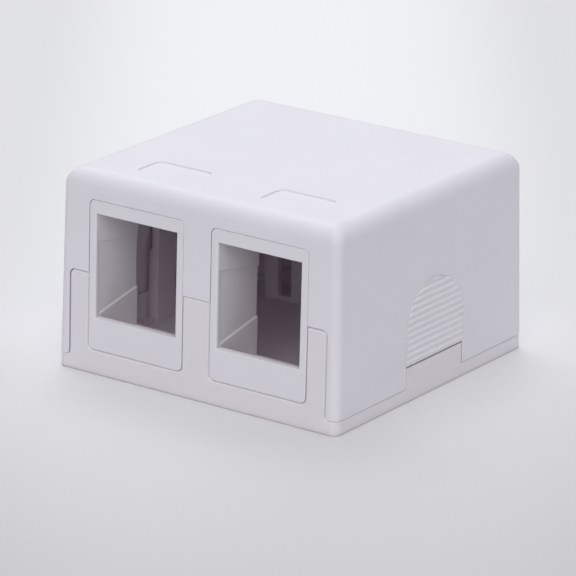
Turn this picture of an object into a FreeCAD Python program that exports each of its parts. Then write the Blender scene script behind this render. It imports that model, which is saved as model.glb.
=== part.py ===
import FreeCAD
import Part
import Sketcher
import os
import re

# A twin-port surface mount box: a base with the lower half of the front wall, a lift-off
# cover, and two port inserts held between them. Millimetres, +Z up, front towards -Y.

# Driving dimensions, each held in one cell of the sheet
SIZES = {
    "box_width": 51.5,
    "box_depth": 50.0,
    "box_height": 31.3,
    "draft_angle": 1.2,
    "wall": 1.5,
    "top_wall": 2.0,
    "corner_radius": 1.4,
    "top_radius": 2.6,
    "inner_radius": 0.8,
    "base_break": 0.25,
    "cover_break": 0.08,
    "insert_break": 0.1,
    "port_break": 0.15,
    "foot_break": 0.08,
    "floor_wall": 1.6,
    "rim_height": 2.2,
    "rim_ledge": 3.0,
    "base_inset": 0.08,
    "seam_gap": 0.07,
    "jamb_gap": 0.13,
    "fit_gap": 0.15,
    "seam_height": 15.7,
    "jamb_width": 2.25,
    "front_corner_radius": 0.8,
    "column_foot_radius": 0.6,
    "port_pitch": 22.5,
    "port_width": 14.9,
    "port_height": 16.25,
    "port_head": 2.1,
    "port_lip": 1.8,
    "lip_radius": 0.7,
    "insert_width": 17.4,
    "insert_play": 0.04,
    "insert_lift": 0.02,
    "insert_head": 4.05,
    "insert_sill": 3.85,
    "insert_depth": 10.4,
    "insert_radius": 0.9,
    "bay_wall": 1.2,
    "flange_reach": 0.9,
    "flange_wall": 1.3,
    "relief_depth": 0.25,
    "relief_break": 0.18,
    "relief_setback": 0.5,
    "relief_rise": 0.45,
    "relief_height": 11.4,
    "relief_taper": 1.9,
    "web_wall": 2.0,
    "stop_wall": 1.2,
    "stop_height": 13.0,
    "entry_width": 15.0,
    "entry_height": 17.7,
    "entry_offset": 0.5,
    "tab_height": 5.4,
    "tab_wall": 1.3,
    "tab_gap": 0.25,
    "tongue_rise": 1.0,
    "tongue_wall": 0.5,
    "louvre_pitch": 1.02,
    "louvre_count": 12,
    "louvre_rise": 0.3,
    "louvre_root": 0.03,
    "louvre_crest": 0.7,
    "knockout_recess": 0.8,
    "arm_width": 9.8,
    "arm_height": 21.0,
    "arm_wall": 1.3,
    "arm_clearance": 0.5,
    "root_wall": 0.75,
    "root_height": 13.0,
    "root_inset": 0.4,
    "barb_reach": 0.25,
    "barb_height": 2.4,
    "catch_reach": 0.15,
    "catch_height": 1.2,
    "slit_width": 0.9,
    "slit_sill": 6.2,
    "post_spacing": 25.8,
    "post_width": 7.6,
    "post_wall": 1.0,
    "post_height": 13.0,
    "post_setback": 9.0,
    "post_slot": 2.5,
    "post_sill": 2.4,
    "rail_wall": 1.0,
    "rail_height": 4.2,
    "rail_length": 9.0,
    "rail_spacing": 28.0,
    "screw_spacing": 25.0,
    "screw_radius": 2.1,
    "screw_sink": 0.9,
    "label_width": 10.3,
    "label_length": 6.0,
    "label_setback": 8.9,
    "label_offset": 0.9,
    "label_depth": 0.25,
    "label_radius": 1.2,
    "rib_wall": 1.2,
    "rib_length": 7.0,
    "rib_spacing": 11.0,
}

# Sizes that follow from the driving ones
HALF_WIDTH = "(box_width / 2)"
HALF_DEPTH = "(box_depth / 2)"
SLOPE = "tan(draft_angle)"
PORT_X = "(port_pitch / 2)"
INSERT_TOP = "(box_height - insert_head)"
PORT_TOP = f"({INSERT_TOP} - port_head)"
PORT_SILL = f"({PORT_TOP} - port_height)"
FRONT_HALF = f"({HALF_WIDTH} - jamb_width)"
FRONT_TOP = "(seam_height - seam_gap / 2)"
SLOT_FOOT = "(insert_sill - insert_lift - seam_gap)"
COLUMN = f"({FRONT_HALF} - {PORT_X} - insert_width / 2 - seam_gap)"
FRONT_CORNER = f"min(front_corner_radius; {COLUMN} / 2)"
CEILING = "(box_height - top_wall)"
NOTCH_TOP = "(tab_height + tab_gap)"
REACH = "(box_width + box_depth)"

# How near a face or edge has to be to count as the one that is meant
EXACT = 0.001
CLOSE = 0.05
PARALLEL = 0.99

doc = FreeCAD.newDocument("junction_box")
sheet = doc.addObject("Spreadsheet::Sheet", "Sizes")
for row, (alias, size) in enumerate(SIZES.items(), start=1):
    sheet.set(f"A{row}", alias)
    sheet.set(f"B{row}", str(size))
    sheet.setAlias(f"B{row}", alias)
doc.recompute()


def cells(expression):
    """The expression with every size written as its cell of the sheet."""
    return re.sub(r"[a-z_]+", lambda word: "Sizes." + word[0] if word[0] in SIZES else word[0], expression)


def value(expression):
    return float(sheet.evalExpression(cells(expression)))


def bind(feature, settings):
    for name, expression in settings.items():
        feature.setExpression(name, cells(expression))


def front_at(height):
    """Where the sloping front face stands at a height."""
    return f"(-{HALF_DEPTH} + ({height}) * {SLOPE})"


def side_at(height):
    """Half the outer width at a height."""
    return f"({HALF_WIDTH} - ({height}) * {SLOPE})"


def arm_face(height):
    """Where the outer face of a snap arm stands at a height, alongside the cover's wall."""
    return f"({side_at(height)} - wall - arm_clearance)"


# Sketches


def origin_plane(body, role):
    return [feature for feature in body.Origin.OriginFeatures if feature.Role == role][0]


def new_sketch(body, name, role, offset="0"):
    """A sketch on one of the body's own planes, moved along the plane's normal."""
    sketch = body.newObject("Sketcher::SketchObject", name)
    sketch.AttachmentSupport = (origin_plane(body, role), [""])
    sketch.MapMode = "FlatFace"
    bind(sketch, {"AttachmentOffset.Base.z": offset})
    return sketch


def lean_with_wall(sketch, axis):
    """Tilts a sketch about its own axis by the wall's draft."""
    tilt = FreeCAD.Rotation(axis, -value("draft_angle"))
    sketch.AttachmentOffset = FreeCAD.Placement(sketch.AttachmentOffset.Base, tilt)
    bind(sketch, {"AttachmentOffset.Rotation.Angle": "-draft_angle"})


def front_sketch(body, name):
    """A sketch in the sloping front face, with heights measured up the slope."""
    sketch = new_sketch(body, name, "XZ_Plane", HALF_DEPTH)
    lean_with_wall(sketch, FreeCAD.Vector(1, 0, 0))
    return sketch


def fix_point(sketch, index, end, point):
    """Ties one end of a piece of geometry to two expressions."""
    for kind, expression in zip(("DistanceX", "DistanceY"), point):
        number = sketch.addConstraint(Sketcher.Constraint(kind, index, end, value(expression)))
        bind(sketch, {f"Constraints[{number}]": expression})


def add_outline(sketch, corners):
    """A closed outline of straight lines through corners given as expressions."""
    first = sketch.GeometryCount
    count = len(corners)
    points = [FreeCAD.Vector(value(across), value(along), 0) for across, along in corners]
    for number in range(count):
        sketch.addGeometry(Part.LineSegment(points[number], points[(number + 1) % count]))
    for number in range(count):
        following = first + (number + 1) % count
        sketch.addConstraint(Sketcher.Constraint("Coincident", first + number, 2, following, 1))
    for number, corner in enumerate(corners):
        fix_point(sketch, first + number, 1, corner)


def add_rectangle(sketch, low, high):
    add_outline(sketch, [low, (high[0], low[1]), high, (low[0], high[1])])


def add_circle(sketch, centre, radius):
    place = FreeCAD.Vector(value(centre[0]), value(centre[1]), 0)
    index = sketch.addGeometry(Part.Circle(place, FreeCAD.Vector(0, 0, 1), value(radius)))
    fix_point(sketch, index, 3, centre)
    number = sketch.addConstraint(Sketcher.Constraint("Radius", index, value(radius)))
    bind(sketch, {f"Constraints[{number}]": radius})


def add_arch(sketch, half_width, sill, height):
    """A door-shaped outline: an upright opening under a half-round head."""
    spring = f"({height} - {half_width})"
    left = FreeCAD.Vector(-value(half_width), value(spring), 0)
    right = FreeCAD.Vector(value(half_width), value(spring), 0)
    crown = FreeCAD.Vector(0, value(height), 0)
    foot_left = FreeCAD.Vector(left.x, value(sill), 0)
    foot_right = FreeCAD.Vector(right.x, value(sill), 0)
    sketch.addGeometry(Part.LineSegment(left, foot_left))
    sketch.addGeometry(Part.LineSegment(foot_left, foot_right))
    sketch.addGeometry(Part.LineSegment(foot_right, right))
    sketch.addGeometry(Part.Arc(right, crown, left))
    sketch.addConstraint(Sketcher.Constraint("Coincident", 0, 2, 1, 1))
    sketch.addConstraint(Sketcher.Constraint("Coincident", 1, 2, 2, 1))
    sketch.addConstraint(Sketcher.Constraint("Coincident", 2, 2, 3, 1))
    sketch.addConstraint(Sketcher.Constraint("Coincident", 3, 2, 0, 1))
    fix_point(sketch, 1, 1, (f"-{half_width}", sill))
    fix_point(sketch, 1, 2, (half_width, sill))
    fix_point(sketch, 3, 1, (half_width, spring))
    fix_point(sketch, 3, 2, (f"-{half_width}", spring))
    level = sketch.addConstraint(Sketcher.Constraint("DistanceY", 3, 3, value(spring)))
    bind(sketch, {f"Constraints[{level}]": spring})


# Features


def new_body(name):
    body = doc.addObject("PartDesign::Body", name)
    body.Label = name
    return body


def settle(feature):
    """Works the feature out, and stops where it has failed."""
    doc.recompute()
    if {"Invalid", "Error"} & set(feature.State) or not feature.Shape.isValid():
        raise RuntimeError(f"{feature.Name} failed")
    return feature


def extrude(body, sketch, settings, kind="Pad", side="One side", backwards=False):
    """A pad or pocket of a sketch with its lengths bound to the sheet."""
    feature = body.newObject(f"PartDesign::{kind}", f"{sketch.Name}_{kind.lower()}")
    feature.Profile = sketch
    feature.SideType = side
    feature.Reversed = backwards
    bind(feature, settings)
    return settle(feature)


def cut(body, sketch, length, side="One side", backwards=False):
    """A pocket that has to take material away."""
    before = body.Shape.Volume
    pocket = extrude(body, sketch, {"Length": length}, "Pocket", side, backwards)
    if body.Shape.Volume >= before:
        raise RuntimeError(f"{pocket.Name} removes nothing")
    return pocket


def dress(body, name, kind, size, chosen):
    """A fillet or chamfer on every edge that the test chooses."""
    doc.recompute()
    base = body.Tip
    names = [f"Edge{number}" for number, edge in enumerate(base.Shape.Edges, start=1) if chosen(edge)]
    feature = body.newObject(f"PartDesign::{kind}", name)
    feature.Base = (base, names)
    bind(feature, {"Radius" if kind == "Fillet" else "Size": size})
    return settle(feature)


def draft_sides(body, name, chosen, backwards=False):
    """Leans the chosen upright faces by the draft angle about the floor plane."""
    base = body.Tip
    names = [f"Face{number}" for number, face in enumerate(base.Shape.Faces, start=1) if chosen(face)]
    feature = body.newObject("PartDesign::Draft", name)
    feature.Base = (base, names)
    feature.NeutralPlane = (origin_plane(body, "XY_Plane"), [""])
    feature.Reversed = backwards
    bind(feature, {"Angle": "draft_angle"})
    return settle(feature)


def is_upright(face):
    return abs(face.normalAt(0, 0).z) < EXACT


def is_line(edge, direction):
    """True for a straight edge that runs close to a direction."""
    if len(edge.Vertexes) < 2:
        return False
    chord = edge.Vertexes[1].Point - edge.Vertexes[0].Point
    straight = edge.Length - chord.Length < EXACT
    return straight and abs(chord.dot(FreeCAD.Vector(*direction))) > PARALLEL * chord.Length


def near(measure, expression):
    return abs(measure - value(expression)) < CLOSE


def on_front(edge):
    """True for an edge that lies in the sloping front face."""
    return all(abs(vertex.Y - value(front_at(str(vertex.Z)))) < EXACT for vertex in edge.Vertexes)


# Base


def make_base():
    body = new_body("base")
    plate = new_sketch(body, "base_plate", "XY_Plane")
    add_rectangle(
        plate,
        (f"-({HALF_WIDTH} - base_inset)", f"-{HALF_DEPTH}"),
        (f"{HALF_WIDTH} - base_inset", f"{HALF_DEPTH} - base_inset"),
    )
    extrude(body, plate, {"Length": "rim_height"})
    draft_sides(body, "base_draft", is_upright)
    dress(body, "base_corners", "Fillet", "corner_radius", lambda edge: is_line(edge, (0, 0, 1)))
    add_front_wall(body)
    dress(body, "base_foot", "Chamfer", "foot_break", lambda edge: edge.BoundBox.ZMax < EXACT)
    floor = new_sketch(body, "floor", "XY_Plane", "rim_height")
    add_rectangle(
        floor,
        (f"-({HALF_WIDTH} - rim_ledge)", f"-({HALF_DEPTH} - rim_ledge)"),
        (f"{HALF_WIDTH} - rim_ledge", f"{HALF_DEPTH} - rim_ledge"),
    )
    cut(body, floor, "rim_height - floor_wall")
    add_insert_guides(body)
    add_tabs_and_rails(body)
    add_snap_arms(body)
    add_tie_posts(body)
    add_screw_holes(body)
    return body


def add_front_wall(body):
    """The lower half of the front, with a slot for each insert."""
    wall = new_sketch(body, "front_wall", "YZ_Plane")
    add_outline(
        wall,
        [
            (front_at("0"), "0"),
            (front_at(FRONT_TOP), FRONT_TOP),
            (f"{front_at(FRONT_TOP)} + wall", f"{FRONT_TOP} - wall * {SLOPE}"),
            (f"{front_at('0')} + wall", "0"),
        ],
    )
    extrude(body, wall, {"Length": f"2 * {FRONT_HALF}"}, side="Symmetric")
    slots = front_sketch(body, "insert_slots")
    for side in ("-", ""):
        add_rectangle(
            slots,
            (f"{side}{PORT_X} - insert_width / 2 - seam_gap", SLOT_FOOT),
            (f"{side}{PORT_X} + insert_width / 2 + seam_gap", "box_height"),
        )
    cut(body, slots, "2 * wall")

    def slot_foot(edge):
        return is_line(edge, (0, 1, 0)) and near(edge.CenterOfMass.z, SLOT_FOOT)

    def outer_corner(edge):
        outside = near(abs(edge.CenterOfMass.x), FRONT_HALF)
        return is_line(edge, (0, 1, 0)) and outside and near(edge.CenterOfMass.z, FRONT_TOP)

    def column_foot(edge):
        outside = near(abs(edge.CenterOfMass.x), FRONT_HALF)
        return is_line(edge, (0, 1, 0)) and outside and near(edge.CenterOfMass.z, "rim_height")

    def seam_edge(edge):
        return on_front(edge) and edge.BoundBox.ZMax > value("rim_height") + CLOSE

    dress(body, "slot_feet", "Fillet", "insert_radius + seam_gap", slot_foot)
    dress(body, "wall_corners", "Fillet", FRONT_CORNER, outer_corner)
    dress(body, "column_feet", "Fillet", "column_foot_radius", column_foot)
    dress(body, "seam_edges", "Chamfer", "base_break", seam_edge)


def add_insert_guides(body):
    """A web between the bays and stops behind the insert flanges."""
    back = f"{front_at(INSERT_TOP)} + wall + flange_wall + 2 * fit_gap"
    guides = new_sketch(body, "bay_web", "XY_Plane", "floor_wall / 2")
    add_rectangle(
        guides,
        ("-web_wall / 2", f"{front_at('0')} + wall / 2"),
        ("web_wall / 2", f"{front_at('0')} + insert_depth"),
    )
    extrude(body, guides, {"Length": f"{FRONT_TOP} - floor_wall / 2 - wall"})
    stops = new_sketch(body, "flange_stops", "XY_Plane", "floor_wall / 2")
    inner = f"({PORT_X} - insert_width / 2 - fit_gap)"
    outer = f"({PORT_X} + insert_width / 2 + fit_gap)"
    add_rectangle(stops, (f"-{inner}", back), (inner, f"{back} + stop_wall"))
    add_rectangle(stops, (outer, back), (f"{outer} + stop_wall", f"{back} + stop_wall"))
    add_rectangle(stops, (f"-{outer} - stop_wall", back), (f"-{outer}", f"{back} + stop_wall"))
    extrude(body, stops, {"Length": "stop_height - floor_wall / 2"})
    sills = new_sketch(body, "flange_sills", "XY_Plane", "floor_wall / 2")
    for side in ("-", ""):
        add_rectangle(
            sills,
            (f"{side}{PORT_X} - port_width / 2", back),
            (f"{side}{PORT_X} + port_width / 2", f"{back} + stop_wall"),
        )
    extrude(body, sills, {"Length": "insert_sill - fit_gap - floor_wall / 2"})


def add_tabs_and_rails(body):
    """Tabs with a tongue that close the cable entries, and rails that locate the cover."""
    tabs = new_sketch(body, "entry_tabs", "XY_Plane", "floor_wall / 2")
    face = f"({side_at('rim_height')} - base_inset)"
    half = "(entry_width / 2 - jamb_gap)"
    low = f"entry_offset - {half}"
    high = f"entry_offset + {half}"
    add_rectangle(tabs, (f"{face} - tab_wall", low), (face, high))
    add_rectangle(tabs, (f"-{face}", low), (f"tab_wall - {face}", high))
    rear = f"(-{front_at('rim_height')} - base_inset)"
    add_rectangle(tabs, (f"-{half}", f"{rear} - tab_wall"), (half, rear))
    extrude(body, tabs, {"Length": "tab_height - floor_wall / 2"})
    tongues = new_sketch(body, "tab_tongues", "XY_Plane", "floor_wall / 2")
    inner = f"({face} - tab_wall)"
    add_rectangle(tongues, (inner, low), (f"{inner} + tongue_wall", high))
    add_rectangle(tongues, (f"-{inner} - tongue_wall", low), (f"-{inner}", high))
    inner = f"({rear} - tab_wall)"
    add_rectangle(tongues, (f"-{half}", inner), (half, f"{inner} + tongue_wall"))
    extrude(body, tongues, {"Length": "tab_height + tongue_rise - floor_wall / 2"})
    rails = new_sketch(body, "cover_rails", "XY_Plane", "floor_wall / 2")
    face = f"({side_at('rail_height')} - wall - fit_gap)"
    for centre in ("entry_offset - rail_spacing / 2", "entry_offset + rail_spacing / 2"):
        low = f"{centre} - rail_length / 2"
        high = f"{centre} + rail_length / 2"
        add_rectangle(rails, (f"{face} - rail_wall", low), (face, high))
        add_rectangle(rails, (f"-{face}", low), (f"rail_wall - {face}", high))
    rear = f"(-{front_at('rail_height')} - wall - fit_gap)"
    for side in ("-", ""):
        add_rectangle(
            rails,
            (f"{side}rail_spacing / 2 - rail_length / 2", f"{rear} - rail_wall"),
            (f"{side}rail_spacing / 2 + rail_length / 2", rear),
        )
    extrude(body, rails, {"Length": "rail_height - floor_wall / 2"})


def add_snap_arms(body):
    """A split arm with a stiff root and a barbed head inside each side wall."""
    arms = new_sketch(body, "snap_arms", "XZ_Plane", "-entry_offset")
    foot = "floor_wall / 2"
    barb = "(arm_height - barb_height)"
    for side in ("", "-"):
        add_outline(
            arms,
            [
                (f"{side}({arm_face(foot)} - arm_wall)", foot),
                (f"{side}{arm_face(foot)}", foot),
                (f"{side}{arm_face(barb)}", barb),
                (f"{side}({arm_face(barb)} + barb_reach)", f"{barb} + barb_reach"),
                (f"{side}{arm_face('arm_height')}", "arm_height"),
                (f"{side}({arm_face('arm_height')} - arm_wall)", "arm_height"),
            ],
        )
    extrude(body, arms, {"Length": "arm_width"}, side="Symmetric")
    roots = new_sketch(body, "arm_roots", "XZ_Plane", "-entry_offset")
    crown = "(root_height + root_wall)"
    for side in ("", "-"):
        add_outline(
            roots,
            [
                (f"{side}({arm_face(foot)} - arm_wall / 2)", foot),
                (f"{side}({arm_face(foot)} + root_wall)", foot),
                (f"{side}({arm_face('root_height')} + root_wall)", "root_height"),
                (f"{side}{arm_face(crown)}", crown),
                (f"{side}({arm_face(crown)} - arm_wall / 2)", crown),
            ],
        )
    extrude(body, roots, {"Length": "arm_width - 2 * root_inset"}, side="Symmetric")
    slit = new_sketch(body, "arm_slit", "YZ_Plane")
    add_rectangle(
        slit,
        ("entry_offset - slit_width / 2", "slit_sill"),
        ("entry_offset + slit_width / 2", "arm_height + barb_height"),
    )
    cut(body, slit, "box_width", side="Symmetric")


def add_tie_posts(body):
    """Two forked posts near the back that a cable is tied to."""
    posts = new_sketch(body, "tie_posts", "XY_Plane", "floor_wall / 2")
    slots = new_sketch(body, "post_slots", "XZ_Plane")
    for side in ("-", ""):
        centre = f"{side}post_spacing / 2"
        add_rectangle(
            posts,
            (f"{centre} - post_width / 2", f"{HALF_DEPTH} - post_setback"),
            (f"{centre} + post_width / 2", f"{HALF_DEPTH} - post_setback + post_wall"),
        )
        add_rectangle(
            slots,
            (f"{centre} - post_slot / 2", "post_sill"),
            (f"{centre} + post_slot / 2", "post_height + floor_wall"),
        )
    extrude(body, posts, {"Length": "post_height - floor_wall / 2"})
    cut(body, slots, "box_depth")


def add_screw_holes(body):
    holes = new_sketch(body, "screw_holes", "XY_Plane", "floor_wall")
    for side in ("-", ""):
        add_circle(holes, (f"{side}screw_spacing / 2", "0"), "screw_radius")
    cut(body, holes, "floor_wall")

    def hole_mouth(edge):
        if edge.Curve.TypeId != "Part::GeomCircle":
            return False
        return near(edge.Curve.Radius, "screw_radius") and near(edge.CenterOfMass.z, "floor_wall")

    dress(body, "screw_sinks", "Chamfer", "screw_sink", hole_mouth)


# Cover


def make_cover_block():
    """The closed outer form of the cover, with drafted walls and rounded edges."""
    body = new_body("cover_block")
    shell = new_sketch(body, "cover_shell", "XY_Plane", "rim_height")
    add_rectangle(shell, (f"-{HALF_WIDTH}", f"-{HALF_DEPTH}"), (HALF_WIDTH, HALF_DEPTH))
    extrude(body, shell, {"Length": "box_height - rim_height"})
    draft_sides(body, "cover_draft", is_upright)
    radii = []
    for number, edge in enumerate(body.Shape.Edges, start=1):
        if is_line(edge, (0, 0, 1)):
            radii.append((number, value("corner_radius"), value("corner_radius")))
        elif near(edge.CenterOfMass.z, "box_height"):
            radii.append((number, value("top_radius"), value("top_radius")))
    rounded = doc.addObject("Part::Fillet", "cover_block_rounded")
    rounded.Base = body
    rounded.Edges = radii
    return settle(rounded)


def make_cover():
    block = make_cover_block()
    body = new_body("cover")
    body.BaseFeature = block
    doc.recompute()
    add_cavity(body)
    add_front_opening(body)
    add_tab_notches(body)
    add_label_recesses(body)
    add_cover_ribs(body)
    add_knockouts(body)
    return body


def add_cavity(body):
    cavity = new_sketch(body, "cavity", "XY_Plane", "rim_height")
    add_rectangle(
        cavity,
        (f"wall - {HALF_WIDTH}", f"wall - {HALF_DEPTH}"),
        (f"{HALF_WIDTH} - wall", f"{HALF_DEPTH} - wall"),
    )
    cut(body, cavity, f"{CEILING} - rim_height", backwards=True)
    draft_sides(body, "cavity_draft", is_upright, backwards=True)

    def inner_edge(edge):
        inside = abs(edge.CenterOfMass.x) < value(f"{side_at(CEILING)} - wall / 2")
        inside = inside and abs(edge.CenterOfMass.y) < value(f"-{front_at(CEILING)} - wall / 2")
        rear_corner = is_line(edge, (0, 0, 1)) and edge.CenterOfMass.y > 0
        return inside and (rear_corner or near(edge.CenterOfMass.z, CEILING))

    dress(body, "cavity_edges", "Fillet", "inner_radius", inner_edge)


def add_front_opening(body):
    """The cut-out that the base's front wall and both inserts fill."""
    opening = front_sketch(body, "front_opening")
    jamb = f"({FRONT_HALF} + jamb_gap)"
    shoulder = f"({FRONT_TOP} + jamb_gap)"
    seam = f"({FRONT_TOP} + seam_gap)"
    crown = f"({INSERT_TOP} + seam_gap - insert_lift)"
    inner = f"({PORT_X} - insert_width / 2 - seam_gap)"
    outer = f"({PORT_X} + insert_width / 2 + seam_gap)"
    side = [(jamb, "0"), (jamb, shoulder), (outer, shoulder)]
    half = side + [(outer, crown), (inner, crown), (inner, seam)]
    mirrored = [(f"-{across}", height) for across, height in reversed(half)]
    add_outline(opening, half + mirrored)
    cut(body, opening, "2 * wall")

    def seam_corner(edge):
        level = near(edge.CenterOfMass.z, shoulder)
        return is_line(edge, (0, 1, 0)) and near(abs(edge.CenterOfMass.x), jamb) and level

    def column_foot(edge):
        foot = near(edge.CenterOfMass.z, "rim_height")
        return is_line(edge, (0, 1, 0)) and near(abs(edge.CenterOfMass.x), jamb) and foot

    def insert_corner(edge):
        return is_line(edge, (0, 1, 0)) and near(edge.CenterOfMass.z, crown)

    def seam_edge(edge):
        inside = edge.BoundBox.XMax < value(f"{HALF_WIDTH} - corner_radius / 2")
        inside = inside and edge.BoundBox.XMin > -value(f"{HALF_WIDTH} - corner_radius / 2")
        lifted = edge.BoundBox.ZMax > value("rim_height") + CLOSE
        return inside and lifted and on_front(edge) and edge.BoundBox.ZMax < value(f"{crown} + seam_gap")

    dress(body, "seam_corners", "Fillet", f"{FRONT_CORNER} + jamb_gap", seam_corner)
    dress(body, "column_feet", "Fillet", "column_foot_radius - jamb_gap", column_foot)
    dress(body, "insert_corners", "Fillet", "insert_radius + seam_gap", insert_corner)
    dress(body, "opening_edges", "Chamfer", "cover_break", seam_edge)


def add_tab_notches(body):
    """Notches in the rim for the base's tabs, at both sides and the rear."""
    sides = new_sketch(body, "side_notches", "YZ_Plane")
    add_rectangle(
        sides,
        ("entry_offset - entry_width / 2", "0"),
        ("entry_offset + entry_width / 2", NOTCH_TOP),
    )
    cut(body, sides, REACH, side="Symmetric")
    rear = new_sketch(body, "rear_notch", "XZ_Plane")
    add_rectangle(rear, ("-entry_width / 2", "0"), ("entry_width / 2", NOTCH_TOP))
    cut(body, rear, "box_depth")


def add_label_recesses(body):
    """A shallow rounded field above each port."""
    fields = new_sketch(body, "label_fields", "XY_Plane", "box_height")
    middle = f"(label_setback - {HALF_DEPTH})"
    for side in ("-", ""):
        centre = f"{side}{PORT_X} + label_offset"
        add_rectangle(
            fields,
            (f"{centre} - label_width / 2", f"{middle} - label_length / 2"),
            (f"{centre} + label_width / 2", f"{middle} + label_length / 2"),
        )
    cut(body, fields, "label_depth")

    def field_corner(edge):
        return is_line(edge, (0, 0, 1)) and near(edge.BoundBox.ZMax, "box_height")

    dress(body, "label_corners", "Fillet", "label_radius", field_corner)


def add_cover_ribs(body):
    """Ribs that hold the inserts down and catches for the snap arms."""
    start = f"({INSERT_TOP} + flange_reach + fit_gap)"
    ribs = new_sketch(body, "hold_down_ribs", "XY_Plane", start)
    back = f"({front_at(INSERT_TOP)} + wall + fit_gap)"
    for side in ("-", ""):
        for lean in ("-", "+"):
            centre = f"{side}{PORT_X} {lean} rib_spacing / 2"
            add_rectangle(
                ribs,
                (f"{centre} - rib_wall / 2", back),
                (f"{centre} + rib_wall / 2", f"{back} + rib_length"),
            )
    extrude(body, ribs, {"Length": f"{CEILING} + top_wall / 2 - {start}"})
    catches = new_sketch(body, "arm_catches", "XZ_Plane", "-entry_offset")
    middle = "(arm_height - barb_height)"
    face = f"({side_at(middle)} - wall)"
    for side in ("", "-"):
        add_outline(
            catches,
            [
                (f"{side}({face} + wall / 2)", f"{middle} - catch_height / 2"),
                (f"{side}({face} + wall / 2)", f"{middle} + catch_height / 2"),
                (f"{side}{face}", f"{middle} + catch_height / 2"),
                (f"{side}({face} - catch_reach)", middle),
                (f"{side}{face}", f"{middle} - catch_height / 2"),
            ],
        )
    extrude(body, catches, {"Length": "arm_width"}, side="Symmetric")


# Cable entries: thinned, louvred panels that a fitter breaks out


def place_on_wall(body, across, along, yaw):
    """Turns a body so that its own front lies on one of the outer walls."""
    body.Placement = FreeCAD.Placement(FreeCAD.Vector(), FreeCAD.Rotation(FreeCAD.Vector(0, 0, 1), yaw))
    bind(body, {"Placement.Base.x": across, "Placement.Base.y": along})


def arch_sketch(body, name, depth):
    """The arched panel's outline, leaning with the wall, at a depth under its face."""
    sketch = new_sketch(body, name, "XZ_Plane", f"-({depth})")
    lean_with_wall(sketch, FreeCAD.Vector(1, 0, 0))
    add_arch(sketch, "(entry_width / 2)", NOTCH_TOP, "entry_height")
    return sketch


def louvre_panel(name):
    """The ridges that stand on the arched panel, one for each louvre."""
    body = new_body(name)
    panel = arch_sketch(body, f"{name}_panel", "0")
    root = "(wall - knockout_recess) / 2"
    extrude(body, panel, {"Length": "louvre_rise", "Length2": root}, side="Two sides")
    valley = new_sketch(body, f"{name}_valley", "YZ_Plane")
    lean_with_wall(valley, FreeCAD.Vector(0, 0, 1))
    low = f"({NOTCH_TOP} - (1 - louvre_crest) * louvre_pitch)"
    high = f"({NOTCH_TOP} + louvre_crest * louvre_pitch)"
    add_outline(
        valley,
        [
            ("-2 * louvre_rise", low),
            ("-louvre_rise", low),
            ("louvre_root", NOTCH_TOP),
            ("-louvre_rise", high),
            ("-2 * louvre_rise", high),
        ],
    )
    gap = cut(body, valley, "2 * entry_width", side="Symmetric")
    pattern = body.newObject("PartDesign::LinearPattern", f"{name}_valleys")
    pattern.Originals = [gap]
    pattern.Direction = (valley, ["V_Axis"])
    bind(pattern, {"Length": "louvre_pitch * louvre_count", "Occurrences": "louvre_count + 1"})
    body.Tip = pattern
    settle(pattern)
    return body


def recess_cutter(name):
    """The pocket that thins the panel from inside the wall."""
    body = new_body(name)
    pocket = arch_sketch(body, f"{name}_pocket", "wall - knockout_recess")
    extrude(body, pocket, {"Length": "wall"}, backwards=True)
    return body


def combine(body, name, kind, others):
    """Adds the other bodies to a body or takes them away, as a step that has to tell."""
    before = body.Shape.Volume
    step = body.newObject("PartDesign::Boolean", name)
    step.Type = kind
    step.setObjects(others)
    settle(step)
    if (body.Shape.Volume > before) != (kind == "Fuse"):
        raise RuntimeError(f"{name} changes nothing")


def add_knockouts(body):
    walls = {
        "right": (HALF_WIDTH, "entry_offset", 90),
        "rear": ("0", HALF_DEPTH, 180),
        "left": (f"-{HALF_WIDTH}", "entry_offset", 270),
    }
    recesses = []
    panels = []
    for name, (across, along, yaw) in walls.items():
        recesses.append(recess_cutter(f"{name}_recess"))
        panels.append(louvre_panel(f"{name}_louvres"))
        place_on_wall(recesses[-1], across, along, yaw)
        place_on_wall(panels[-1], across, along, yaw)
    doc.recompute()
    combine(body, "thin_panels", "Cut", recesses)
    combine(body, "louvres", "Fuse", panels)


# Port inserts


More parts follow.
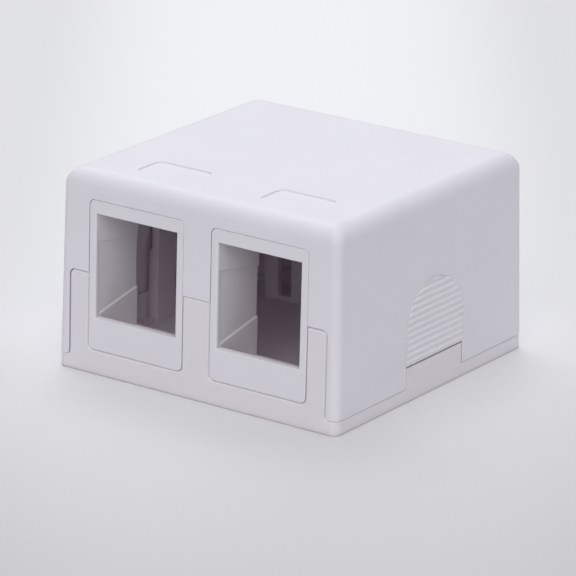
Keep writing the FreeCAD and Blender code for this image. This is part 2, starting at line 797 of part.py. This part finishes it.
def make_insert(name, side):
    """A frame with the port opening, a flange behind the front wall and a short bay."""
    body = new_body(name)
    centre = f"({side}{PORT_X} + insert_play)"
    back = f"({front_at(INSERT_TOP)} + insert_depth)"
    block = front_sketch(body, f"{name}_block")
    add_rectangle(
        block,
        (f"{centre} - insert_width / 2", "insert_sill"),
        (f"{centre} + insert_width / 2", INSERT_TOP),
    )
    extrude(body, block, {"Length": "insert_depth"}, backwards=True)
    dress(body, f"{name}_corners", "Fillet", "insert_radius", lambda edge: is_line(edge, (0, 1, 0)))
    dress(body, f"{name}_face_edge", "Chamfer", "insert_break", on_front)
    flange = new_sketch(body, f"{name}_flange", "YZ_Plane", centre)
    crown = f"({INSERT_TOP} + flange_reach)"
    add_outline(
        flange,
        [
            (f"{front_at('rim_height')} + wall + fit_gap", "rim_height"),
            (f"{front_at(crown)} + wall + fit_gap", crown),
            (f"{front_at(crown)} + wall + fit_gap + flange_wall", crown),
            (f"{front_at('rim_height')} + wall + fit_gap + flange_wall", "rim_height"),
        ],
    )
    extrude(body, flange, {"Length": "insert_width + 2 * flange_reach"}, side="Symmetric")
    bay = new_sketch(body, f"{name}_bay", "XZ_Plane")
    low = f"{centre} - port_width / 2"
    high = f"{centre} + port_width / 2"
    add_rectangle(bay, (low, "insert_sill + bay_wall"), (high, f"{INSERT_TOP} - bay_wall"))
    cut(body, bay, f"{HALF_DEPTH} - port_lip", backwards=True)
    port = new_sketch(body, f"{name}_port", "XZ_Plane")
    add_rectangle(port, (low, PORT_SILL), (high, PORT_TOP))
    cut(body, port, "box_depth", backwards=True)

    def lip_edge(edge):
        behind = near(edge.CenterOfMass.y, f"port_lip - {HALF_DEPTH}")
        return is_line(edge, (1, 0, 0)) and behind and near(edge.CenterOfMass.z, PORT_SILL)

    dress(body, f"{name}_lip", "Fillet", "lip_radius", lip_edge)
    relief = new_sketch(body, f"{name}_relief", "YZ_Plane", centre)
    relief_sill = f"({PORT_SILL} + relief_rise)"
    mouth = f"({front_at(PORT_TOP)} + relief_setback)"
    add_outline(
        relief,
        [
            (mouth, relief_sill),
            (back, f"{relief_sill} + relief_taper"),
            (back, f"{relief_sill} + relief_height - relief_taper"),
            (mouth, f"{relief_sill} + relief_height"),
        ],
    )
    cut(body, relief, "port_width + 2 * relief_depth", side="Symmetric")
    slant = FreeCAD.Vector(0, value(f"{back} - {mouth}"), value("relief_taper")).normalize()

    def relief_foot(edge):
        beside = near(abs(edge.CenterOfMass.x - value(centre)), "port_width / 2")
        return beside and is_line(edge, slant)

    dress(body, f"{name}_relief_foot", "Chamfer", "relief_break", relief_foot)

    def port_edge(edge):
        across = abs(edge.CenterOfMass.x - value(centre)) < value("port_width / 2") + CLOSE
        rise = edge.CenterOfMass.z - value(PORT_SILL)
        return on_front(edge) and across and -CLOSE < rise < value("port_height") + CLOSE

    dress(body, f"{name}_port_edge", "Chamfer", "port_break", port_edge)
    return body


pieces = [
    make_base(),
    make_insert("port_insert_left", "-"),
    make_insert("port_insert_right", ""),
    make_cover(),
]
doc.recompute()
failed = [feature.Name for feature in doc.Objects if {"Invalid", "Error"} & set(feature.State)]
if failed:
    raise RuntimeError(f"failed features: {failed}")
os.makedirs("parts", exist_ok=True)
for piece in pieces:
    if piece.Shape.isNull() or not piece.Shape.isValid() or len(piece.Shape.Solids) != 1:
        raise RuntimeError(f"{piece.Label} is not one valid solid")
for piece in pieces:
    piece.Shape.exportStep(f"parts/{piece.Label}.step")
    box = piece.Shape.BoundBox
    extents = f"{box.XLength:.2f} x {box.YLength:.2f} x {box.ZLength:.2f} mm"
    print(f"{piece.Label}: {extents}, {piece.Shape.Volume:.0f} mm3")
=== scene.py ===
import math
import bmesh
import bpy
from mathutils import Matrix, Vector


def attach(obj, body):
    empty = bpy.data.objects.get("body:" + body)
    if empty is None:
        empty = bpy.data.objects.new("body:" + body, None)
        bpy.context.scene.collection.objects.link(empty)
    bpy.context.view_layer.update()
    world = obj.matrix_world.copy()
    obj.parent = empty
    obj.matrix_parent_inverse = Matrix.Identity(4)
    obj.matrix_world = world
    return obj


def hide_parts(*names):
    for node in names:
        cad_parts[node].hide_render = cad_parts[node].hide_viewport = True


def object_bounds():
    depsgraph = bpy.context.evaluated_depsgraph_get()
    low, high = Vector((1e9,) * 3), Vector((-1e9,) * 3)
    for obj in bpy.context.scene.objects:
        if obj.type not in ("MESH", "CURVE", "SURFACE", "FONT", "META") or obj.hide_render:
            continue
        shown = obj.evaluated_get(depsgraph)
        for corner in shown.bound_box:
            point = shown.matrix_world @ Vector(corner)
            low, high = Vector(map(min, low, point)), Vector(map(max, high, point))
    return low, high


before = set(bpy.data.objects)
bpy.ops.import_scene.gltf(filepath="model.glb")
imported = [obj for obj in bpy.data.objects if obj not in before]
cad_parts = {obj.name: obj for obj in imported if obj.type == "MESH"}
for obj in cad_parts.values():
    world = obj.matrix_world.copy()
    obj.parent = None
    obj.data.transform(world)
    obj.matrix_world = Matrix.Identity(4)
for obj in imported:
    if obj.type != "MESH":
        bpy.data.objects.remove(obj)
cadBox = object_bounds()
scene = bpy.context.scene
scene.view_settings.view_transform = "Standard"
print("frame loaded:", sorted(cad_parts))

upAxis = (0.0, 0.0, 1.0)
rays = {"edge": 6, "gap": 8}  # for each point that is shaded
mixSockets = {"factor": 0, "first": 6, "second": 7, "result": 2}  # of a Mix node set to colours


# one socket of a shader, with Python maths on it
class Wire:
    def __init__(self, graph, socket):
        self.graph = graph
        self.socket = socket

    def math(self, operation, first, second):
        return self.graph.add("ShaderNodeMath", {"operation": operation}, {0: first, 1: second})

    def __add__(self, other):
        return self.math("ADD", self, other)

    def __radd__(self, other):
        return self.math("ADD", other, self)

    def __sub__(self, other):
        return self.math("SUBTRACT", self, other)

    def __rsub__(self, other):
        return self.math("SUBTRACT", other, self)

    def __mul__(self, other):
        return self.math("MULTIPLY", self, other)

    def __rmul__(self, other):
        return self.math("MULTIPLY", other, self)


# a material's node tree, which any node is added to by its type
class Graph:
    def __init__(self, name):
        self.material = bpy.data.materials.new(name)
        self.material.use_nodes = True
        self.tree = self.material.node_tree
        self.tree.nodes.clear()

    def add(self, kind, settings=None, inputs=None, output=0):
        node = self.tree.nodes.new(kind)
        for name, setting in (settings or {}).items():
            setattr(node, name, setting)
        for name, given in (inputs or {}).items():
            if isinstance(given, Wire):
                self.tree.links.new(given.socket, node.inputs[name])
            else:
                node.inputs[name].default_value = given
        return Wire(self, node.outputs[output]) if node.outputs else None

    def noise(self, place, size, detail, roughness):  # size in metres
        given = {"Vector": place, "Scale": 1.0 / size, "Detail": detail, "Roughness": roughness}
        return self.add("ShaderNodeTexNoise", {}, given)

    def ramp(self, value, low, high):  # 0 below low, 1 above high
        given = {"Value": value, "From Min": low, "From Max": high}
        return self.add("ShaderNodeMapRange", {"clamp": True, "interpolation_type": "SMOOTHSTEP"}, given)

    def blend(self, factor, first, second):  # a mix of two colours
        first, second = [shade if isinstance(shade, Wire) else (*shade, 1.0) for shade in (first, second)]
        given = {mixSockets["factor"]: factor, mixSockets["first"]: first, mixSockets["second"]: second}
        return self.add("ShaderNodeMix", {"data_type": "RGBA"}, given, mixSockets["result"])

    def dot(self, first, second):  # how far two directions agree
        return self.add("ShaderNodeVectorMath", {"operation": "DOT_PRODUCT"}, {0: first, 1: second}, "Value")

    def occlusion(self, reach):  # 0 in the open, 1 where walls stand close round a point
        settings = {"samples": rays["gap"]}
        return 1.0 - self.add("ShaderNodeAmbientOcclusion", settings, {"Distance": reach}, "AO")

    def finish(self, shader):
        self.add("ShaderNodeOutputMaterial", {}, {"Surface": shader})
        return self.material


# white moulded plastic: spark-eroded grain and faint mottling, with painted highlights on edges, lips, sills
# and label steps, dust and painted shade in the gaps, and painted shade deep inside
def mouldedPlastic(name, look):
    graph = Graph(name)
    place = graph.add("ShaderNodeTexCoord", {}, {}, "Object")
    mottle = graph.noise(place, look["mottleSize"], *look["mottleNoise"])
    grain = graph.noise(place, look["grainSize"], *look["grainNoise"])
    pores = graph.noise(place, look["grainSize"] * look["poreRatio"], *look["poreNoise"])
    rounded = graph.add("ShaderNodeBevel", {"samples": rays["edge"]}, {"Radius": look["edgeRadius"]})
    flat = graph.add("ShaderNodeNewGeometry", {}, {}, "Normal")
    upward = graph.dot(flat, upAxis)
    rise = graph.add("ShaderNodeSeparateXYZ", {}, {"Vector": place}, "Z")
    gap = graph.occlusion(look["gapReach"])
    roofed = graph.occlusion(look["insideReach"])

    # where each tint goes, from 0 to 1
    edge = graph.ramp(1.0 - graph.dot(rounded, flat), 0.0, look["edgeSpread"])
    atTop = graph.ramp(rise, *look["topRange"])
    # dust and painted shade: darker in gaps, seams and louvre valleys, though not on the top
    dustAndShade = graph.ramp(gap, *look["dustAndShadeRange"]) * (1.0 - atTop)
    stepHighlight = graph.ramp(gap, *look["stepHighlightRange"]) * atTop  # painted highlight on the steps of the label fields, which get no painted shade
    # painted shade: deep inside the box the colour turns darker and redder
    insideShade = graph.ramp(roofed, *look["insideShadeRange"])
    outOfSeam = 1.0 - graph.ramp(gap, *look["seamRange"])  # tight seams keep their own colour
    level = graph.ramp(upward, *look["levelRange"])
    # painted highlight on the level ground in a port
    sillHighlight = graph.ramp(roofed, *look["sillHighlightRange"]) * level * outOfSeam
    slanted = graph.ramp(upward, *look["slantRange"]) * (1.0 - level)
    besideGap = graph.ramp(gap, *look["lipRange"]) * outOfSeam
    lipHighlight = slanted * besideGap * (1.0 - insideShade)  # painted highlight on the slope beside a seam that looks up

    colour = graph.blend(graph.ramp(mottle, *look["mottleRange"]), look["tint"], look["mottleTint"])
    # painted highlight: a pale band along every edge
    colour = graph.blend(edge * look["edgeHighlightLift"], colour, look["edgeHighlightTint"])
    colour = graph.blend(dustAndShade * look["dustAndShadeAmount"], colour, look["dustAndShadeTint"])
    colour = graph.blend(stepHighlight * look["stepHighlightLift"], colour, look["stepHighlightTint"])
    colour = graph.blend(insideShade * outOfSeam, colour, look["insideShadeTint"])
    colour = graph.blend(sillHighlight * look["sillHighlightLift"], colour, look["sillHighlightTint"])
    colour = graph.blend(lipHighlight * look["lipHighlightLift"], colour, look["edgeHighlightTint"])

    uneven = (grain - look["grainMean"]) * look["roughnessSpread"]
    roughness = look["roughness"] + uneven - edge * look["edgePolish"]
    height = grain * (1.0 - look["poreShare"]) + pores * look["poreShare"]
    bump = graph.add(
        "ShaderNodeBump",
        {},
        {
            "Strength": look["grainStrength"],
            "Distance": look["grainDepth"],
            "Height": height,
            "Normal": rounded,
        },
    )
    shader = graph.add(
        "ShaderNodeBsdfPrincipled",
        {},
        {
            "Base Color": colour,
            "Roughness": roughness,
            "Normal": bump,
            "IOR": look["ior"],
            "Specular IOR Level": look["gloss"],
            "Subsurface Weight": look["glow"],
            "Subsurface Radius": look["glowTint"],
            "Subsurface Scale": look["glowReach"],
        },
    )
    return graph.finish(shader)


shellFinish = {
    "weld": 1e-6,  # metres between corners that count as one
    "sharpAngle": math.radians(28.0),  # a sharper edge stays an edge
    "areaWeight": 100,  # how far large faces lead the shading of small ones
}


# a smooth-shaded copy of a CAD node that stands for it
def dressShell(piece):
    shell = bmesh.new()
    shell.from_mesh(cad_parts[piece["node"]].data)
    bmesh.ops.remove_doubles(shell, verts=shell.verts, dist=shellFinish["weld"])
    for face in shell.faces:
        face.smooth = True
        face.material_index = 0
    for edge in shell.edges:
        edge.smooth = edge.calc_face_angle(math.pi) < shellFinish["sharpAngle"]
    mesh = bpy.data.meshes.new(piece["name"])
    shell.to_mesh(mesh)
    shell.free()
    for layer in [layer for layer in mesh.attributes if layer.name == "custom_normal"]:
        mesh.attributes.remove(layer)
    mesh.materials.append(mouldedPlastic(piece["name"] + "Plastic", piece["look"]))
    shown = bpy.data.objects.new(piece["name"], mesh)
    scene.collection.objects.link(shown)
    evenFaces = shown.modifiers.new("evenFaces", "WEIGHTED_NORMAL")
    evenFaces.mode = "FACE_AREA"
    evenFaces.weight = shellFinish["areaWeight"]
    evenFaces.keep_sharp = True
    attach(shown, piece["body"])
    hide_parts(piece["node"])
    print("dressed", piece["node"], len(mesh.polygons), "faces")


coverLook = {
    "tint": (0.830, 0.818, 0.872),
    "mottleTint": (0.843, 0.831, 0.885),
    "mottleSize": 0.011,  # metres, as every size, reach and height here
    "mottleNoise": (4.0, 0.55),  # detail and roughness
    "mottleRange": (0.35, 0.65),
    "grainSize": 0.00022,
    "grainNoise": (2.0, 0.6),
    "grainMean": 0.5,
    "grainStrength": 0.25,
    "grainDepth": 0.00003,
    "poreRatio": 0.4,
    "poreNoise": (2.0, 0.5),
    "poreShare": 0.3,
    "roughness": 0.46,
    "roughnessSpread": 0.16,
    "ior": 1.52,
    "gloss": 0.3,
    "edgeRadius": 0.00010,
    "edgeSpread": 0.06,
    # painted highlight along the edges and on the lips beside seams
    "edgeHighlightLift": 0.85,
    "edgeHighlightTint": (0.970, 0.955, 0.985),
    "edgePolish": 0.08,
    "gapReach": 0.0012,
    "dustAndShadeRange": (0.08, 0.72),  # how closed a gap is where the dust and painted shade start and where they are full
    "dustAndShadeAmount": 0.44,
    "dustAndShadeTint": (0.42, 0.40, 0.41),
    "topRange": (0.0300, 0.0305),  # height of the label fields
    # painted highlight on the steps of the label fields
    "stepHighlightRange": (0.05, 0.20),
    "stepHighlightTint": (0.945, 0.931, 0.995),
    "stepHighlightLift": 0.35,
    "seamRange": (0.35, 0.60),
    "slantRange": (0.30, 0.50),  # how far a slope looks up
    "levelRange": (0.85, 0.95),
    "lipRange": (0.04, 0.15),
    # painted highlight on the lips beside the seams
    "lipHighlightLift": 0.68,
    "insideReach": 0.045,
    # painted shade deep inside the box
    "insideShadeRange": (0.68, 0.92),
    "insideShadeTint": (0.845, 0.728, 0.825),
    "sillHighlightRange": (0.25, 0.50),
    "sillHighlightLift": 0.0,  # painted highlight on the level ground in a port
    "sillHighlightTint": (1.0, 0.965, 0.985),
    "glow": 0.12,  # light that seeps through the wall
    "glowTint": (1.0, 0.7, 0.65),
    "glowReach": 0.0012,
}
coverShell = {
    "name": "cover_shell",
    "node": "cover",
    "body": "cover_body",
    "slot": "cover_plastic",
    "look": coverLook,
}
dressShell(coverShell)

baseLook = dict(
    coverLook,
    tint=(0.822, 0.798, 0.846),
    mottleTint=(0.834, 0.810, 0.858),
    roughness=0.48,
    lipHighlightLift=0.9,
)
baseShell = {
    "name": "base_shell",
    "node": "base",
    "body": "base_body",
    "slot": "base_plastic",
    "look": baseLook,
}
dressShell(baseShell)

insertLook = dict(
    coverLook,
    tint=(0.822, 0.810, 0.858),
    mottleTint=(0.834, 0.822, 0.870),
    insideShadeRange=(0.60, 0.88),
    insideShadeTint=(0.735, 0.690, 0.725),
    sillHighlightLift=1.0,
    roughness=0.43,
)
for side in ("left", "right"):
    insertShell = {
        "name": f"port_insert_{side}_shell",
        "node": f"port_insert_{side}",
        "body": "base_body",
        "slot": "insert_plastic",
        "look": insertLook,
    }
    dressShell(insertShell)


stageLook = {
    "size": 6.0,  # metres
    "drop": 0.00004,  # below the underside
    # painted light and shade: the floor is lighter far off and darker near the camera and to the sides
    "farLitTint": (0.980, 0.981, 0.988),
    "nearShadeTint": (0.575, 0.568, 0.580),
    "sideShadeTint": (0.46, 0.46, 0.475),
    "nearAxis": (0.577, -0.816, 0.0),  # level, from the far side of the floor to the near one
    "sideAxis": (0.816, 0.577, 0.0),
    "farEdge": -0.05,  # metres along the near axis
    "nearEdge": 0.158,
    "sideEdge": 0.05,  # metres along the side axis
    "sideFade": 0.30,
    "mottleSize": 0.25,
    "mottleNoise": (3.0, 0.5),  # detail and roughness
    "mottleAmount": 0.03,
    "roughness": 0.6,
    "gloss": 0.2,
}


def layFloor():
    graph = Graph("paleFloor")
    place = graph.add("ShaderNodeTexCoord", {}, {}, "Object")
    mottle = graph.noise(place, stageLook["mottleSize"], *stageLook["mottleNoise"])
    along = graph.dot(place, stageLook["nearAxis"])
    across = graph.dot(place, stageLook["sideAxis"])
    # painted light and shade on the floor: lighter far off, darker near and to the sides
    nearShade = graph.ramp(along, stageLook["farEdge"], stageLook["nearEdge"])
    sideShade = graph.ramp(across * across, 0.0, stageLook["sideEdge"] ** 2) * stageLook["sideFade"]
    colour = graph.blend(nearShade, stageLook["farLitTint"], stageLook["nearShadeTint"])
    colour = graph.blend(sideShade + mottle * stageLook["mottleAmount"], colour, stageLook["sideShadeTint"])
    given = {
        "Base Color": colour,
        "Roughness": stageLook["roughness"],
        "Specular IOR Level": stageLook["gloss"],
    }
    material = graph.finish(graph.add("ShaderNodeBsdfPrincipled", {}, given))
    plane = bmesh.new()
    bmesh.ops.create_grid(plane, x_segments=1, y_segments=1, size=stageLook["size"] / 2)
    bmesh.ops.translate(plane, verts=plane.verts, vec=(0.0, 0.0, -stageLook["drop"]))
    mesh = bpy.data.meshes.new("floor")
    plane.to_mesh(mesh)
    plane.free()
    mesh.materials.append(material)
    floor = bpy.data.objects.new("floor", mesh)
    scene.collection.objects.link(floor)


layFloor()
print("floor laid")


studio = {
    "skyTint": (0.955, 0.965, 1.0),
    "skyStrength": 0.261,
    "coolTint": (0.957, 0.966, 1.0),
    "warmTint": (0.986, 0.966, 0.962),
    "aim": (0.0, 0.0, 0.015),  # metres, the point that every lamp faces
    "lamps": {  # places and sizes in metres, power in watts
        "overhead": {"place": (0.0, 0.1, 1.0), "size": 0.9, "power": 3.55, "tint": "coolTint"},
        "backSoft": {"place": (-0.55, 0.45, 0.70), "size": 0.9, "power": 3.7, "tint": "coolTint"},
        "frontSoft": {"place": (0.0, -0.8, 0.7), "size": 0.7, "power": 0.56, "tint": "coolTint"},
        "keySoft": {"place": (0.46, -0.70, 0.58), "size": 0.7, "power": 3.1, "tint": "warmTint"},
        "rightSoft": {"place": (0.70, -0.62, 0.35), "size": 0.9, "power": 0.73, "tint": "warmTint"},
    },
}


def lightStudio():
    world = bpy.data.worlds.new("studio")
    scene.world = world
    world.use_nodes = True
    sky = world.node_tree.nodes["Background"]
    sky.inputs["Color"].default_value = (*studio["skyTint"], 1.0)
    sky.inputs["Strength"].default_value = studio["skyStrength"]
    for name, lamp in studio["lamps"].items():
        light = bpy.data.lights.new(name, "AREA")
        light.shape = "SQUARE"
        light.size = lamp["size"]
        light.energy = lamp["power"]
        light.color = studio[lamp["tint"]]
        holder = bpy.data.objects.new(name, light)
        holder.location = lamp["place"]
        holder.rotation_euler = (Vector(studio["aim"]) - holder.location).to_track_quat("-Z", "Y").to_euler()
        scene.collection.objects.link(holder)


lightStudio()
print("studio lit")


view = {
    "azimuth": 35.28,  # degrees, from the front round to the right
    "elevation": 18.87,
    "roll": 0.79,
    "lens": 274.1,  # millimetres
    "sensor": 36.0,
    "nearClip": 0.01,  # metres
    "distance": 0.6495,  # metres to the middle of the front bottom edge
    "edgePixel": (193.9, 400.2),  # where that point falls in the picture
    "pictureSize": 576,
}


def placeCamera():
    azimuth = math.radians(view["azimuth"])
    elevation = math.radians(view["elevation"])
    roll = math.radians(view["roll"])
    back = Vector((math.sin(azimuth), -math.cos(azimuth), math.tan(elevation))).normalized()
    right = Vector((math.cos(azimuth), math.sin(azimuth), 0.0))
    up = back.cross(right)
    tiltedRight = math.cos(roll) * right + math.sin(roll) * up
    tiltedUp = math.cos(roll) * up - math.sin(roll) * right
    scale = view["distance"] * view["sensor"] / view["lens"] / view["pictureSize"]  # metres for each pixel
    across = (view["edgePixel"][0] - view["pictureSize"] / 2) * scale
    rise = (view["pictureSize"] / 2 - view["edgePixel"][1]) * scale
    frontEdge = Vector((0.0, cadBox[0][1], cadBox[0][2]))
    place = frontEdge + view["distance"] * back - across * tiltedRight - rise * tiltedUp
    lens = bpy.data.cameras.new("camera")
    lens.lens = view["lens"]
    lens.sensor_width = view["sensor"]
    lens.clip_start = view["nearClip"]
    camera = bpy.data.objects.new("camera", lens)
    turn = Matrix((tiltedRight, tiltedUp, back)).transposed()
    camera.matrix_world = Matrix.Translation(place) @ turn.to_4x4()
    scene.collection.objects.link(camera)
    scene.camera = camera


placeCamera()
print("camera placed")
